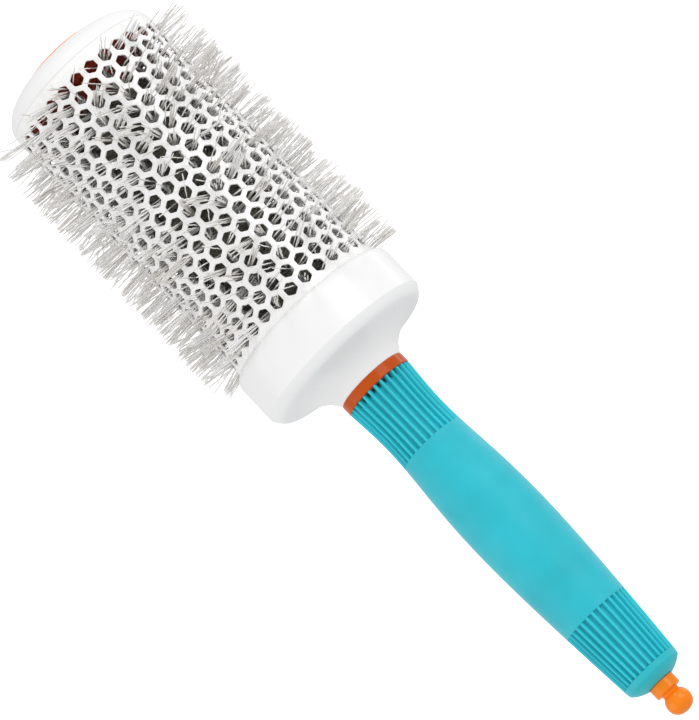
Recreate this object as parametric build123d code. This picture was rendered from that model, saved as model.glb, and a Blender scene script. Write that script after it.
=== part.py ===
from build123d import *
import math
import os

# Round vented thermal styling brush, standing on its flat front end.
# The origin is the centre of the front face, +Z runs along the brush axis to the handle end.
# All lengths are in millimetres.

# Barrel: white ceramic-coated aluminium tube with rings of hexagonal vent holes
BARREL_R = 27.5
BARREL_WALL = 0.6
BARREL_FRONT_Z = 8.8
BARREL_REAR_Z = 112.6
HOLE_RINGS = 20
HOLES_PER_RING = 30
FIRST_RING_Z = 14.34
RING_PITCH = 4.78
HOLE_ACROSS_FLATS = 3.9
PUNCH_DEPTH = 6.0

# Bristle spindles: wires that carry the bristles, stretched from the front plug to the rear plate
SPINDLES = 10
SPINDLE_PITCH_R = 17.0
WIRE_R = 1.0
BINDING_R = 1.7
BINDING_GAP = 0.05
BINDING_END = 1.1
TUFT_START = 1.2
TUFT_ROOT_R = 0.6
TUFT_TIP_R = 0.3
BRISTLE_TIP_R = 38.0

# Front end: end disc, white cap, orange plug and the clamping screw
DISC_R = 16.1
DISC_T = 1.8
DISC_EDGE_R = 0.45
DISC_SNAP_R = 11.6
DISC_SNAP_WALL = 1.2
DISC_SNAP_END_Z = 4.6
CAP_FRONT_Z = 0.8
CAP_FLAT_R = 15.8
CAP_OPENING_R = 16.35
CAP_REAR_R = 27.4
CAP_WALL = 1.6
PLUG_BOSS_R = 15.9
PLUG_RECESS_R = 11.9
PLUG_RECESS_Z = 6.4
PLUG_RIM_R = 26.8
PLUG_RIM_END_Z = 11.4
PLUG_HUB_R = 21.5
PLUG_HUB_END_Z = 13.0
PLUG_STEM_R = 12.0
PLUG_SPIGOT_END_Z = 24.1
SOCKET_R = 1.05
SOCKET_FLOOR_Z = 9.8
SCREW_R = 2.0
SCREW_CLEARANCE = 0.15
SCREW_HEAD_R = 3.8
SCREW_HEAD_T = 2.2
SCREW_END_Z = 19.1
HEX_KEY_ACROSS_FLATS = 2.5
HEX_KEY_DEPTH = 1.3
WASHER_R = 5.2
WASHER_T = 0.6

# Tie rod that clamps the barrel assembly to the handle
ROD_R = 3.0
ROD_GAP = 0.05
ROD_FRONT_Z = 9.1
ROD_REAR_Z = 165.1
ROD_THREAD_END_Z = 20.1

# Dark core tube round the tie rod, which keeps the plug and the rear plate apart
CORE_R = 12.0
CORE_WALL = 1.2
CORE_FRONT_Z = 19.6
CORE_SPIGOT_R = 10.75

# Rear end of the barrel
PLATE_R = 26.8
PLATE_FRONT_Z = 108.9
PLATE_REAR_Z = 112.4
PLATE_SPIGOT_FRONT_Z = 106.4
VENT_R = 2.2
VENT_PITCH_R = 22.0
FLANGE_FRONT_Z = 109.5
FLANGE_R = 30.1
FLANGE_LIP_GAP = 0.3
FLANGE_LIP_LENGTH = 3.2
FLANGE_RIM_Z = 124.9
FLANGE_WALL = 2.0
FLANGE_LEDGE_R = 25.0
FLANGE_LEDGE_REAR_Z = 114.8
FLANGE_CAVITY_R = 27.6
FLANGE_CAVITY = [(9.9, 130.4), (25.8, 125.6), (FLANGE_CAVITY_R, 123.5), (FLANGE_CAVITY_R, FLANGE_LEDGE_REAR_Z)]
NECK_R = 11.85
NECK_Z = 137.0
SHOULDER_POINTS = [(FLANGE_R, FLANGE_RIM_Z), (29.3, 126.2), (28.5, 127.9), (26.5, 128.3)]
SWEEP_POINTS = [SHOULDER_POINTS[-1], (20.0, 130.0), (15.0, 132.8), (12.6, 135.6), (NECK_R, NECK_Z)]

# Orange accent band
BAND_R = 11.95
BAND_REAR_Z = 140.5
BAND_EDGE = 0.35
BAND_BORE_R = 7.9

# Handle: hard core under a soft grip with two ribbed zones
SPIGOT_R = 7.85
SPIGOT_FRONT_Z = 127.7
GRIP_FRONT_Z = BAND_REAR_Z
GRIP_REAR_Z = 257.0
GRIP_OUTLINE = [
    (11.9, GRIP_FRONT_Z), (11.03, 155.7), (12.29, 176.8), (13.06, 197.8), (12.44, 218.7), (9.97, GRIP_REAR_Z),
]
GRIP_WALL = 1.8
RIBS = 30
RIB_W = 0.85
GROOVE_DEPTH = 0.85
GROOVE_CUT_R = 20.0
UPPER_GROOVES = (GRIP_FRONT_Z, 163.5)
LOWER_GROOVES = (234.3, GRIP_REAR_Z)
INSERT_R = 5.0
INSERT_FRONT_Z = 149.1
INSERT_REAR_Z = 165.1
INSERT_GROOVE_W = 2.0
INSERT_GROOVE_DEPTH = 0.6

# Handle end
END_CAP_R = 9.97
END_CAP_CORNER_R = 9.73
END_CAP_CORNER_Z = 258.9
END_CAP_MIDDLE = (7.75, 260.65)
END_CAP_TIP_R = 4.9
END_CAP_TIP_Z = 261.8
END_SPIGOT_R = 6.4
END_SPIGOT_FRONT_Z = 248.1

# Sectioning pick, stored in the handle
PICK_R = 1.9
PICK_GAP = 0.05
PICK_TAPER_Z = 213.1
PICK_TIP_Z = 191.1
PICK_TIP_R = 0.55
TANG_R = 1.4
TANG_END_Z = 268.1
GUIDE_R = 3.1
GUIDE_FRONT_Z = 186.1
GUIDE_REAR_Z = 248.0
ORING_SECTION_R = 0.65
ORING_Z = 255.1
ORING_GROOVE_W = 1.5
COLLAR_R = 4.36
COLLAR_FRONT_Z = 261.85
COLLAR_REAR_Z = 265.6
COLLAR_EDGE = 0.5
KNOB_NECK_R = 2.86
KNOB_R = 4.27
KNOB_CENTRE_Z = 269.8
KNOB_TIP_Z = 273.6


def turned(outline):
    """A body of revolution about Z from its closed half section: corner points (r, z) or edges."""
    if isinstance(outline[0], tuple):
        outline = [Polyline(*outline, close=True)]
    return revolve(Plane.XZ * make_face(outline), Axis.Z)


def tube(r_out, r_in, z0, z1):
    return turned([(r_in, z0), (r_out, z0), (r_out, z1), (r_in, z1)])


def rod(r, z0, z1):
    return turned([(0, z0), (r, z0), (r, z1), (0, z1)])


def around(shape, count, start_deg=0.0):
    """Copies of a shape, evenly spaced about Z."""
    return [Rot(0, 0, start_deg + i * 360.0 / count) * shape for i in range(count)]


def ring_z(ring):
    return FIRST_RING_Z + ring * RING_PITCH


def ring_offset_deg(ring):
    """Every other ring of holes is turned by half a hole pitch."""
    return (ring % 2) * 180.0 / HOLES_PER_RING


def grip_curve(inset):
    """The handle's outline, moved towards the axis by the inset."""
    return Spline(*[(r - inset, z) for r, z in GRIP_OUTLINE])


def barrel_tube():
    corner_r = HOLE_ACROSS_FLATS / math.sqrt(3.0)
    hexagon = RegularPolygon(radius=corner_r, side_count=6, rotation=30.0)
    start = (BARREL_R - PUNCH_DEPTH / 2, 0, 0)
    punch = extrude(Plane(origin=start, x_dir=(0, 1, 0), z_dir=(1, 0, 0)) * hexagon, amount=PUNCH_DEPTH)
    punches = []
    for ring in range(HOLE_RINGS):
        punches += around(Pos(0, 0, ring_z(ring)) * punch, HOLES_PER_RING, ring_offset_deg(ring))
    return tube(BARREL_R, BARREL_R - BARREL_WALL, BARREL_FRONT_Z, BARREL_REAR_Z) - punches


def spindle_wire():
    return Pos(SPINDLE_PITCH_R, 0, 0) * rod(WIRE_R, SOCKET_FLOOR_Z, PLATE_REAR_Z)


def tuft(hole_deg, z):
    """One hole's bristles as a single slim cone, from the wire through the middle of the hole."""
    root = Vector(SPINDLE_PITCH_R, 0, z)
    hole_r = BARREL_R - BARREL_WALL / 2
    hole = Vector(hole_r * math.cos(math.radians(hole_deg)), hole_r * math.sin(math.radians(hole_deg)), z)
    way = (hole - root).normalized()
    along = root.X * way.X
    length = math.sqrt(along**2 + BRISTLE_TIP_R**2 - root.X**2) - along
    cone = Cone(TUFT_ROOT_R, TUFT_TIP_R, length - TUFT_START, align=(Align.CENTER, Align.CENTER, Align.MIN))
    return Plane(origin=root + way * TUFT_START, z_dir=way) * cone


def bristle_row():
    """The bristles of one spindle: a binding along the wire and a tuft through each hole it serves."""
    hole_pitch = 360.0 / HOLES_PER_RING
    holes_each = HOLES_PER_RING // SPINDLES
    tufts = []
    for ring in range(HOLE_RINGS):
        for k in range(holes_each):
            tufts.append(tuft((k - 1) * hole_pitch + ring_offset_deg(ring), ring_z(ring)))
    binding = tube(BINDING_R, WIRE_R + BINDING_GAP, ring_z(0) - BINDING_END, ring_z(HOLE_RINGS - 1) + BINDING_END)
    return Pos(SPINDLE_PITCH_R, 0, 0) * binding + tufts


def end_disc():
    disc = fillet(rod(DISC_R, 0, DISC_T).edges().group_by(Axis.Z)[0], DISC_EDGE_R)
    return disc + tube(DISC_SNAP_R, DISC_SNAP_R - DISC_SNAP_WALL, DISC_T, DISC_SNAP_END_Z)


def cap_outline(inset):
    """A quarter ellipse from the cap's flat front to its rear rim."""
    x_radius = CAP_REAR_R - CAP_FLAT_R - inset
    z_radius = BARREL_FRONT_Z - CAP_FRONT_Z - inset
    centre = (CAP_FLAT_R, BARREL_FRONT_Z)
    return EllipticalCenterArc(centre, x_radius, z_radius, start_angle=270, arc_size=90)


def front_cap():
    outer = cap_outline(0)
    inner = cap_outline(CAP_WALL)
    front = Polyline(outer @ 0, (CAP_OPENING_R, CAP_FRONT_Z), (CAP_OPENING_R, CAP_FRONT_Z + CAP_WALL), inner @ 0)
    return turned([outer, Line(outer @ 1, inner @ 1), inner, front])


def front_plug():
    body = turned([
        (0, DISC_T), (PLUG_BOSS_R, DISC_T), (PLUG_BOSS_R, BARREL_FRONT_Z), (PLUG_RIM_R, BARREL_FRONT_Z),
        (PLUG_RIM_R, PLUG_RIM_END_Z), (PLUG_HUB_R, PLUG_RIM_END_Z), (PLUG_HUB_R, PLUG_HUB_END_Z),
        (PLUG_STEM_R, PLUG_HUB_END_Z), (PLUG_STEM_R, CORE_FRONT_Z), (CORE_SPIGOT_R, CORE_FRONT_Z),
        (CORE_SPIGOT_R, PLUG_SPIGOT_END_Z), (0, PLUG_SPIGOT_END_Z),
    ])
    body -= rod(PLUG_RECESS_R, DISC_T, PLUG_RECESS_Z)
    body -= rod(SCREW_R + SCREW_CLEARANCE, PLUG_RECESS_Z, ROD_FRONT_Z)
    body -= rod(ROD_R + ROD_GAP, ROD_FRONT_Z, PLUG_SPIGOT_END_Z)
    socket = Pos(SPINDLE_PITCH_R, 0, 0) * rod(SOCKET_R, SOCKET_FLOOR_Z, PLUG_HUB_END_Z)
    return body - around(socket, SPINDLES)


def front_washer():
    return tube(WASHER_R, SCREW_R + SCREW_CLEARANCE, PLUG_RECESS_Z - WASHER_T, PLUG_RECESS_Z)


def front_screw():
    seat_z = PLUG_RECESS_Z - WASHER_T
    head_z = seat_z - SCREW_HEAD_T
    screw = rod(SCREW_HEAD_R, head_z, seat_z) + rod(SCREW_R, seat_z, SCREW_END_Z)
    key = RegularPolygon(radius=HEX_KEY_ACROSS_FLATS / 2, side_count=6, major_radius=False)
    return screw - extrude(Plane.XY.offset(head_z) * key, amount=HEX_KEY_DEPTH)


def tie_rod():
    return rod(ROD_R, ROD_FRONT_Z, ROD_REAR_Z) - rod(SCREW_R, ROD_FRONT_Z, ROD_THREAD_END_Z)


def core_tube():
    return tube(CORE_R, CORE_R - CORE_WALL, CORE_FRONT_Z, PLATE_FRONT_Z)


def rear_plate():
    plate = tube(PLATE_R, ROD_R + ROD_GAP, PLATE_FRONT_Z, PLATE_REAR_Z)
    plate += tube(CORE_SPIGOT_R, ROD_R + ROD_GAP, PLATE_SPIGOT_FRONT_Z, PLATE_FRONT_Z)
    socket = Pos(SPINDLE_PITCH_R, 0, 0) * rod(SOCKET_R, PLATE_FRONT_Z, PLATE_REAR_Z)
    vent = Pos(VENT_PITCH_R, 0, 0) * rod(VENT_R, PLATE_FRONT_Z, PLATE_REAR_Z)
    return plate - around(socket, SPINDLES) - around(vent, SPINDLES, 180.0 / SPINDLES)


def rear_flange():
    """White flange: a drum over the barrel's end that sweeps down to the neck like a trumpet."""
    lip = EllipticalCenterArc(
        (BARREL_R + FLANGE_LIP_GAP, FLANGE_FRONT_Z + FLANGE_LIP_LENGTH),
        FLANGE_R - BARREL_R - FLANGE_LIP_GAP, FLANGE_LIP_LENGTH, start_angle=270, arc_size=90,
    )
    drum = Line(lip @ 1, (FLANGE_R, FLANGE_RIM_Z))
    shoulder = Bezier(*SHOULDER_POINTS)
    sweep = Spline(*SWEEP_POINTS, tangents=[(-2.0, 0.4), (-0.3, 1)])
    neck_bore_r = SPIGOT_R + ROD_GAP
    seat_r = BARREL_R + ROD_GAP
    inside = Polyline(
        sweep @ 1, (neck_bore_r, NECK_Z), (neck_bore_r, SPIGOT_FRONT_Z - FLANGE_WALL),
        (neck_bore_r + FLANGE_WALL, SPIGOT_FRONT_Z - FLANGE_WALL), *FLANGE_CAVITY,
        (FLANGE_LEDGE_R, FLANGE_LEDGE_REAR_Z), (FLANGE_LEDGE_R, BARREL_REAR_Z), (seat_r, BARREL_REAR_Z),
        (seat_r, FLANGE_FRONT_Z), lip @ 0,
    )
    return turned([lip, drum, shoulder, sweep, inside])


def accent_band():
    band = tube(BAND_R, BAND_BORE_R, NECK_Z, BAND_REAR_Z)
    rims = band.edges().filter_by(GeomType.CIRCLE).sort_by(SortBy.RADIUS)[-2:]
    return fillet(rims, BAND_EDGE)


def handle_core():
    skin = grip_curve(GRIP_WALL)
    body = turned([
        skin,
        Polyline(
            skin @ 1, (0, GRIP_REAR_Z), (0, SPIGOT_FRONT_Z), (SPIGOT_R, SPIGOT_FRONT_Z), (SPIGOT_R, GRIP_FRONT_Z),
            skin @ 0,
        ),
    ])
    body -= rod(ROD_R + ROD_GAP, SPIGOT_FRONT_Z, INSERT_FRONT_Z)
    body -= rod(INSERT_R, INSERT_FRONT_Z, INSERT_REAR_Z)
    body -= rod(GUIDE_R + ROD_GAP, GUIDE_FRONT_Z, END_SPIGOT_FRONT_Z)
    return body - rod(END_SPIGOT_R + ROD_GAP, END_SPIGOT_FRONT_Z, GRIP_REAR_Z)


def grooves(z0, z1):
    """The hollows between the ribs of one zone of the grip."""
    floor_curve = grip_curve(GROOVE_DEPTH)
    outside = Polyline(
        floor_curve @ 1, (GROOVE_CUT_R, GRIP_REAR_Z), (GROOVE_CUT_R, GRIP_FRONT_Z), floor_curve @ 0
    )
    band = turned([floor_curve, outside]) & rod(GROOVE_CUT_R, z0, z1)
    rib = Pos(GROOVE_CUT_R / 2, 0, (z0 + z1) / 2) * Box(GROOVE_CUT_R, RIB_W, z1 - z0 + 2)
    return band - around(rib, RIBS)


def grip_sleeve():
    outer = grip_curve(0)
    inner = grip_curve(GRIP_WALL)
    sleeve = turned([outer, Line(outer @ 1, inner @ 1), inner, Line(inner @ 0, outer @ 0)])
    return sleeve - grooves(*UPPER_GROOVES) - grooves(*LOWER_GROOVES)


def thread_insert():
    insert = tube(INSERT_R, ROD_R, INSERT_FRONT_Z, INSERT_REAR_Z)
    middle_z = (INSERT_FRONT_Z + INSERT_REAR_Z) / 2
    half_w = INSERT_GROOVE_W / 2
    return insert - tube(INSERT_R, INSERT_R - INSERT_GROOVE_DEPTH, middle_z - half_w, middle_z + half_w)


def handle_end_cap():
    bore_r = PICK_R + PICK_GAP
    dome = ThreePointArc((END_CAP_CORNER_R, END_CAP_CORNER_Z), END_CAP_MIDDLE, (END_CAP_TIP_R, END_CAP_TIP_Z))
    shell = Polyline(
        dome @ 1, (bore_r, END_CAP_TIP_Z), (bore_r, END_SPIGOT_FRONT_Z), (END_SPIGOT_R, END_SPIGOT_FRONT_Z),
        (END_SPIGOT_R, GRIP_REAR_Z), (END_CAP_R, GRIP_REAR_Z), dome @ 0,
    )
    groove_r = bore_r + 2 * ORING_SECTION_R
    return turned([dome, shell]) - rod(groove_r, ORING_Z - ORING_GROOVE_W / 2, ORING_Z + ORING_GROOVE_W / 2)


def pick_guide_tube():
    return tube(GUIDE_R, PICK_R + PICK_GAP, GUIDE_FRONT_Z, GUIDE_REAR_Z)


def pick_o_ring():
    return Pos(0, 0, ORING_Z) * Torus(PICK_R + PICK_GAP + ORING_SECTION_R, ORING_SECTION_R)


def pick_shaft():
    return turned([
        (0, PICK_TIP_Z), (PICK_TIP_R, PICK_TIP_Z), (PICK_R, PICK_TAPER_Z), (PICK_R, COLLAR_FRONT_Z),
        (TANG_R, COLLAR_FRONT_Z), (TANG_R, TANG_END_Z), (0, TANG_END_Z),
    ])


def pick_knob():
    """Collar, neck and ball moulded as one piece over the pick's tang."""
    collar = fillet(rod(COLLAR_R, COLLAR_FRONT_Z, COLLAR_REAR_Z).edges(), COLLAR_EDGE)
    neck = rod(KNOB_NECK_R, COLLAR_REAR_Z, KNOB_CENTRE_Z)
    front_half = Line((0, KNOB_CENTRE_Z - KNOB_R), (0, KNOB_TIP_Z))
    side = Spline(
        (0, KNOB_TIP_Z), (KNOB_R, KNOB_CENTRE_Z), (0, KNOB_CENTRE_Z - KNOB_R),
        tangents=[(1, 0), (-1, 0)],
    )
    return collar + neck + turned([front_half, side]) - rod(TANG_R, COLLAR_FRONT_Z, TANG_END_Z)


def save(name, shape):
    export_step(shape, f"parts/{name}.step")


os.makedirs("parts", exist_ok=True)

pieces = {
    "barrel_tube": barrel_tube(),
    "end_disc": end_disc(),
    "front_cap": front_cap(),
    "front_plug": front_plug(),
    "front_washer": front_washer(),
    "front_screw": front_screw(),
    "tie_rod": tie_rod(),
    "core_tube": core_tube(),
    "rear_plate": rear_plate(),
    "rear_flange": rear_flange(),
    "accent_band": accent_band(),
    "handle_core": handle_core(),
    "grip_sleeve": grip_sleeve(),
    "thread_insert": thread_insert(),
    "handle_end_cap": handle_end_cap(),
    "pick_guide_tube": pick_guide_tube(),
    "pick_o_ring": pick_o_ring(),
    "pick_shaft": pick_shaft(),
    "pick_knob": pick_knob(),
}

wire = spindle_wire()
row = bristle_row()
for number in range(SPINDLES):
    turn = Rot(0, 0, number * 360.0 / SPINDLES)
    pieces[f"spindle_wire_{number + 1:02d}"] = turn * wire
    pieces[f"bristle_row_{number + 1:02d}"] = turn * row

for name, shape in pieces.items():
    save(name, shape)
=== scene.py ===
import math

import bmesh
import bpy
import numpy as np
from mathutils import Matrix, Vector


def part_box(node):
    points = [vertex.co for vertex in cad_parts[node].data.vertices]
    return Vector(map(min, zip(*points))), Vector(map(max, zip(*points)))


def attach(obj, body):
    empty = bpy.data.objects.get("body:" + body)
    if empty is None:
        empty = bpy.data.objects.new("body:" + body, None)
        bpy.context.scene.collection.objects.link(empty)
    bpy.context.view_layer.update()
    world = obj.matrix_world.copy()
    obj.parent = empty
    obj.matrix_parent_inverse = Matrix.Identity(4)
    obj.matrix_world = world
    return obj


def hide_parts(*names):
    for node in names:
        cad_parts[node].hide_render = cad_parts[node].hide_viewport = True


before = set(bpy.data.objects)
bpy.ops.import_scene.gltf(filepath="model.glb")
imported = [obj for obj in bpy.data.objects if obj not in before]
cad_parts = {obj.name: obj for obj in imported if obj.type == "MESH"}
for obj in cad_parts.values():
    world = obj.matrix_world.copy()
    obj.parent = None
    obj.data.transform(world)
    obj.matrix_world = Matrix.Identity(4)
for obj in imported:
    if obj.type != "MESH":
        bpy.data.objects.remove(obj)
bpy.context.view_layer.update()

# Round vented thermal brush, standing on its flat front end: +Z runs towards the handle end.
# Lengths are in millimetres here and become metres where a mesh, light or camera is made.
MM = 0.001
rng = np.random.default_rng(55)


def node_box(node):
    """Lowest and highest corner of a CAD node, in millimetres."""
    low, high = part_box(node)
    return np.array(low) / MM, np.array(high) / MM


# ---------------------------------------------------------------- driving dimensions
barrel_low, barrel_high = node_box("barrel_tube")
BARREL_R = barrel_high[0]
BARREL_Z0 = barrel_low[2]
BARREL_Z1 = barrel_high[2]
BARREL_WALL = 0.6
BARREL_INSIDE_R = BARREL_R - BARREL_WALL
CORE_R = node_box("core_tube")[1][0]
HOLE_RINGS = 20
HOLES_PER_RING = 30
FIRST_RING_Z = BARREL_Z0 + 5.54
RING_PITCH = 4.78
HOLE_INRADIUS = 3.9 / 2
HOLE_CORNER_R = 0.7

SPINDLES = 10
SPINDLE_R = 17.0
wire_low, wire_high = node_box("spindle_wire_01")
WIRE_R = (wire_high[0] - wire_low[0]) / 2
TIP_R = node_box("bristle_row_01")[1][0]

cap_low, cap_high = node_box("front_cap")
disc_low, disc_high = node_box("end_disc")
flange_low, flange_high = node_box("rear_flange")
band_low, band_high = node_box("accent_band")
grip_low, grip_high = node_box("grip_sleeve")
end_low, end_high = node_box("handle_end_cap")
knob_low, knob_high = node_box("pick_knob")
RIBS = 30


# ---------------------------------------------------------------- mesh helpers
def add_mesh(name, verts, faces, materials, body, replaces=(), slot=None, face_materials=None):
    """A smooth mesh piece from vertices in millimetres; faces is a list of index arrays."""
    mesh = bpy.data.meshes.new(name)
    face_list = [tuple(int(i) for i in f) for block in faces for f in block]
    mesh.from_pydata((np.asarray(verts) * MM).tolist(), [], face_list)
    for material in materials:
        mesh.materials.append(material)
    if face_materials is not None:
        mesh.polygons.foreach_set("material_index", np.asarray(face_materials, np.int32))
    mesh.polygons.foreach_set("use_smooth", np.ones(len(mesh.polygons), bool))
    mesh.update()
    piece = bpy.data.objects.new(name, mesh)
    bpy.context.scene.collection.objects.link(piece)
    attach(piece, body)
    if replaces:
        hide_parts(*replaces)
    return piece


def weight_normals(piece, sharp_deg):
    """Flat faces stay flat beside small rounded edges."""
    piece.data.set_sharp_from_angle(angle=math.radians(sharp_deg))
    modifier = piece.modifiers.new("weighted_normals", "WEIGHTED_NORMAL")
    modifier.keep_sharp = True
    modifier.weight = 60


def arc(centre, radius, start_deg, end_deg, steps):
    """Points (r, z) along an arc; a pair of radii makes it a stretch of an ellipse."""
    angles = np.radians(np.linspace(start_deg, end_deg, steps + 1))
    radius_r, radius_z = radius if isinstance(radius, tuple) else (radius, radius)
    return [(centre[0] + radius_r * math.cos(a), centre[1] + radius_z * math.sin(a)) for a in angles]


def bezier(p0, p1, p2, p3, steps):
    """Points (r, z) along a cubic Bezier curve."""
    t = np.linspace(0, 1, steps + 1)[:, None]
    p0, p1, p2, p3 = (np.array(p, float) for p in (p0, p1, p2, p3))
    curve = ((1 - t) ** 3) * p0 + 3 * t * (1 - t) ** 2 * p1 + 3 * t**2 * (1 - t) * p2 + t**3 * p3
    return curve.tolist()


def natural_spline(knots, values, at):
    """The natural cubic spline through values given at rising knots."""
    n = len(knots)
    h = np.diff(knots)
    matrix, right = np.eye(n), np.zeros(n)
    slopes = np.diff(values) / h
    for i in range(1, n - 1):
        matrix[i, i - 1:i + 2] = (h[i - 1], 2 * (h[i - 1] + h[i]), h[i])
        right[i] = 6 * (slopes[i] - slopes[i - 1])
    bend = np.linalg.solve(matrix, right)
    i = np.clip(np.searchsorted(knots, at) - 1, 0, n - 2)
    a, b = knots[i + 1] - at, at - knots[i]
    curved = (bend[i] * a**3 + bend[i + 1] * b**3) / (6 * h[i])
    return (curved + (values[i] / h[i] - bend[i] * h[i] / 6) * a
            + (values[i + 1] / h[i] - bend[i + 1] * h[i] / 6) * b)


def curve_through(points, steps):
    """A smooth outline through points (r, z)."""
    points = np.array(points, float)
    run = np.concatenate([[0], np.cumsum(np.linalg.norm(np.diff(points, axis=0), axis=1))])
    at = np.linspace(0, run[-1], steps + 1)
    return np.stack([natural_spline(run, points[:, axis], at) for axis in (0, 1)], 1).tolist()


def rounded(corners, radii):
    """A closed outline (r, z) whose corners are rounded by arcs of the given radii."""
    steps = 5
    corners = [np.array(c, float) for c in corners]
    outline = []
    for i, corner in enumerate(corners):
        before, after = corners[i - 1], corners[(i + 1) % len(corners)]
        into, out = (before - corner), (after - corner)
        into /= np.linalg.norm(into)
        out /= np.linalg.norm(out)
        radius = radii[i]
        if radius <= 0:
            outline.append(tuple(corner))
            continue
        half = math.acos(np.clip(np.dot(into, out), -1, 1)) / 2
        reach = radius / math.tan(half)
        centre = corner + (into + out) / np.linalg.norm(into + out) * radius / math.sin(half)
        first, last = corner + into * reach - centre, corner + out * reach - centre
        sweep = math.pi - 2 * half
        for k in range(steps + 1):
            share = k / steps
            a = math.sin((1 - share) * sweep) / math.sin(sweep)
            b = math.sin(share * sweep) / math.sin(sweep)
            outline.append(tuple(centre + first * a + last * b))
    return outline


def lathe(name, outline, material, body, segments=160, sharp_deg=50, **options):
    """A closed half section (r, z), turned about Z."""
    same_point, on_axis = 1e-5, 1e-6
    points = [(max(r, 0.0), z) for r, z in outline]
    kept = [p for i, p in enumerate(points) if math.dist(p, points[i - 1]) > same_point]
    angles = np.linspace(0, 2 * math.pi, segments, endpoint=False)
    verts, starts = [], []
    for r, z in kept:
        starts.append(len(verts))
        if r < on_axis:
            verts.append((0.0, 0.0, z))
        else:
            verts.extend(zip(r * np.cos(angles), r * np.sin(angles), np.full(segments, z)))
    here = np.arange(segments)
    after = (here + 1) % segments
    faces = []
    for i in range(len(kept)):
        j = (i + 1) % len(kept)
        a_axis, b_axis = kept[i][0] < on_axis, kept[j][0] < on_axis
        a, b = starts[i], starts[j]
        if a_axis and b_axis:
            continue
        if a_axis:
            faces.append(np.stack([np.full(segments, a), b + here, b + after], 1))
        elif b_axis:
            faces.append(np.stack([a + here, np.full(segments, b), a + after], 1))
        else:
            faces.append(np.stack([a + here, b + here, b + after, a + after], 1))
    area = sum(p[0] * q[1] - q[0] * p[1] for p, q in zip(kept, kept[1:] + kept[:1]))
    if area > 0:
        faces = [block[:, ::-1] for block in faces]
    weight_normals(add_mesh(name, verts, faces, [material], body, **options), sharp_deg)


# ---------------------------------------------------------------- materials
def material_base(name, color, roughness, **sockets):
    """A Principled material whose even values sit directly on the shader's own sockets."""
    material = bpy.data.materials.new(name)
    material.use_nodes = True
    shader = material.node_tree.nodes["Principled BSDF"]
    shader.inputs["Base Color"].default_value = (*color, 1)
    shader.inputs["Roughness"].default_value = roughness
    for socket, value in sockets.items():
        shader.inputs[socket.replace("_", " ")].default_value = value
    return material


def noise(material, scale, detail):
    """Noise over the object's own metres: a scale of 1000 has grains of about a millimetre."""
    nodes, links = material.node_tree.nodes, material.node_tree.links
    place = nodes.new("ShaderNodeTexCoord")
    texture = nodes.new("ShaderNodeTexNoise")
    texture.inputs["Scale"].default_value = scale
    texture.inputs["Detail"].default_value = detail
    texture.inputs["Roughness"].default_value = 0.55
    links.new(place.outputs["Object"], texture.inputs["Vector"])
    return texture.outputs["Fac"]


def ramp(material, value, stops):
    """A colour ramp over a 0 to 1 value."""
    nodes, links = material.node_tree.nodes, material.node_tree.links
    node = nodes.new("ShaderNodeValToRGB")
    elements = node.color_ramp.elements
    while len(elements) < len(stops):
        elements.new(0.5)
    for element, (position, color) in zip(elements, stops):
        element.position = position
        element.color = (*color, 1)
    links.new(value, node.inputs["Fac"])
    return node.outputs["Color"]


def spread(material, value, low, high):
    """Noise, which mostly lies between 0.3 and 0.7, stretched to run from low to high."""
    nodes, links = material.node_tree.nodes, material.node_tree.links
    node = nodes.new("ShaderNodeMapRange")
    node.inputs["From Min"].default_value = 0.3
    node.inputs["From Max"].default_value = 0.7
    node.inputs["To Min"].default_value = low
    node.inputs["To Max"].default_value = high
    links.new(value, node.inputs["Value"])
    return node.outputs["Result"]


def feed(material, socket, value):
    """Wires a value into the material's shader."""
    shader = material.node_tree.nodes["Principled BSDF"]
    material.node_tree.links.new(value, shader.inputs[socket])


def bump(material, heights):
    """Fine bumps: a list of (height value, depth in millimetres), summed by chaining bumps."""
    nodes, links = material.node_tree.nodes, material.node_tree.links
    previous = None
    for height, depth in heights:
        node = nodes.new("ShaderNodeBump")
        node.inputs["Strength"].default_value = 1.0
        node.inputs["Distance"].default_value = depth * MM
        links.new(height, node.inputs["Height"])
        if previous:
            links.new(previous, node.inputs["Normal"])
        previous = node.outputs["Normal"]
    feed(material, "Normal", previous)


def scaled(color, factor):
    """A colour made darker or lighter, kept within what a shader takes."""
    return tuple(min(1.0, c * factor) for c in color)


def moulded_plastic(name, color, roughness, coat, mottling=0.04, **sockets):
    """Moulded plastic: faint colour mottling, uneven gloss and a very slight orange peel."""
    material = material_base(
        name, color, roughness, Coat_Weight=coat, Coat_Roughness=0.06, **sockets)
    soft = noise(material, 90, 4)
    feed(material, "Base Color", ramp(material, soft, [
        (0.3, scaled(color, 1 - mottling)), (0.5, color), (0.7, scaled(color, 1 + mottling)),
    ]))
    gloss = noise(material, 350, 5)
    feed(material, "Roughness", spread(material, gloss, roughness * 0.8, roughness * 1.25))
    bump(material, [(noise(material, 260, 2), 0.008), (noise(material, 2600, 2), 0.0006)])
    return material


def ceramic_coating():
    """Sprayed white ceramic: bright, glossy, with a faint spray texture and greyer thin spots."""
    white = (0.90, 0.90, 0.89)
    material = material_base("ceramic_coating", white, 0.24, Coat_Weight=0.4, Coat_Roughness=0.1)
    feed(material, "Base Color", ramp(material, noise(material, 420, 5), [
        (0.28, (0.82, 0.82, 0.812)), (0.45, white), (0.75, (0.93, 0.93, 0.925)),
    ]))
    feed(material, "Roughness", spread(material, noise(material, 900, 4), 0.18, 0.32))
    bump(material, [(noise(material, 1500, 3), 0.006), (noise(material, 5200, 2), 0.002)])
    return material


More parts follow.
